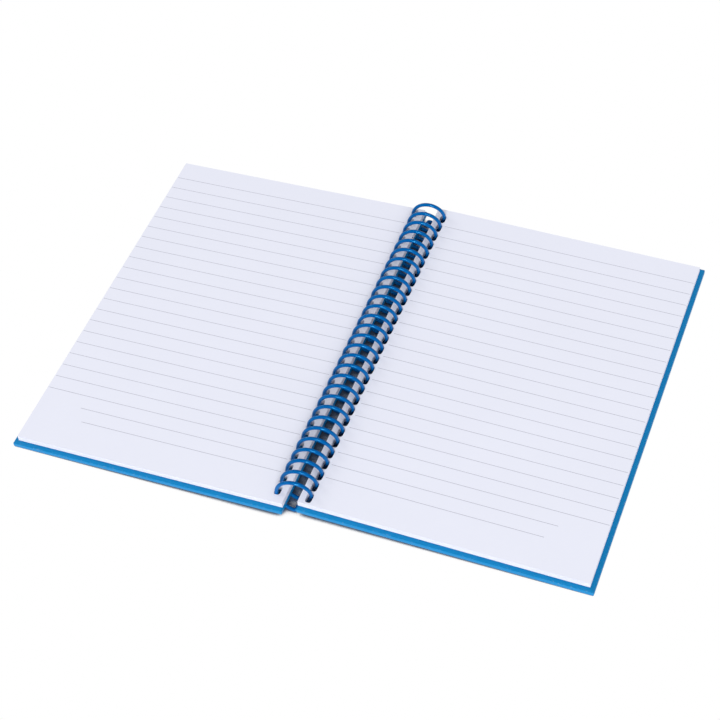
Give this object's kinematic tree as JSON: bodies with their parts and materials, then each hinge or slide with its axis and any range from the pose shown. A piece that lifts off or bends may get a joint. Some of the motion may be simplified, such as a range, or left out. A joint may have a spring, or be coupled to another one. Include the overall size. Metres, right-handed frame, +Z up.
{
  "type": "coil-bound notebook",
  "caption": "Open hardcover notebook with ruled leaves and two wrapped boards, all turning on one helical plastic coil.",
  "frame": {"origin": "on the surface that the notebook lies on, under the middle of the coil, which is the middle of the open notebook", "axes": "+X across the spine towards the right-hand page, +Y along the coil towards the head of the pages, +Z up"},
  "size_m": [0.3066, 0.2186, 0.0191],
  "materials": {
    "coil_plastic": "glossy",
    "cover_wrap": "satin laminate",
    "endpaper": "matt",
    "grey_board": "matt",
    "ruled_paper": "matt"
  },
  "bodies": {
    "back_cover": {"coil": "coil_plastic", "back_wrap": "cover_wrap", "back_board": "grey_board", "back_endpaper": "endpaper", "right_leaves_lower": "ruled_paper"},
    "right_leaves_middle": {"right_leaves_middle": "ruled_paper"},
    "right_leaves_upper": {"right_leaves_upper": "ruled_paper"},
    "right_leaf_second": {"right_leaf_second": "ruled_paper"},
    "right_leaf_top": {"right_leaf_top": "ruled_paper"},
    "front_cover": {"front_wrap": "cover_wrap", "front_board": "grey_board", "front_endpaper": "endpaper", "left_leaves_lower": "ruled_paper"},
    "left_leaves_middle": {"left_leaves_middle": "ruled_paper"},
    "left_leaves_upper": {"left_leaves_upper": "ruled_paper"},
    "left_leaf_second": {"left_leaf_second": "ruled_paper"},
    "left_leaf_top": {"left_leaf_top": "ruled_paper"}
  },
  "joints": [
    {"name": "right_leaves_middle_turn", "type": "hinge", "parent": "back_cover", "child": "right_leaves_middle", "pos_m": [0, 0, 0.0096], "axis": [0, -1, 0], "range_deg": [0, 180]},
    {"name": "right_leaves_upper_turn", "type": "hinge", "parent": "right_leaves_middle", "child": "right_leaves_upper", "pos_m": [0, 0, 0.0096], "axis": [0, -1, 0], "range_deg": [0, 180]},
    {"name": "right_leaf_second_turn", "type": "hinge", "parent": "right_leaves_upper", "child": "right_leaf_second", "pos_m": [0, 0, 0.0096], "axis": [0, -1, 0], "range_deg": [0, 180]},
    {"name": "right_leaf_top_turn", "type": "hinge", "parent": "right_leaf_second", "child": "right_leaf_top", "pos_m": [0, 0, 0.0096], "axis": [0, -1, 0], "range_deg": [0, 180]},
    {"name": "front_cover_turn", "type": "hinge", "parent": "back_cover", "child": "front_cover", "pos_m": [0, 0, 0.0096], "axis": [0, 1, 0], "range_deg": [0, 182.4]},
    {"name": "left_leaves_middle_turn", "type": "hinge", "parent": "front_cover", "child": "left_leaves_middle", "pos_m": [0, 0, 0.0096], "axis": [0, 1, 0], "range_deg": [0, 180]},
    {"name": "left_leaves_upper_turn", "type": "hinge", "parent": "left_leaves_middle", "child": "left_leaves_upper", "pos_m": [0, 0, 0.0096], "axis": [0, 1, 0], "range_deg": [0, 180]},
    {"name": "left_leaf_second_turn", "type": "hinge", "parent": "left_leaves_upper", "child": "left_leaf_second", "pos_m": [0, 0, 0.0096], "axis": [0, 1, 0], "range_deg": [0, 180]},
    {"name": "left_leaf_top_turn", "type": "hinge", "parent": "left_leaf_second", "child": "left_leaf_top", "pos_m": [0, 0, 0.0096], "axis": [0, 1, 0], "range_deg": [0, 180]}
  ]
}
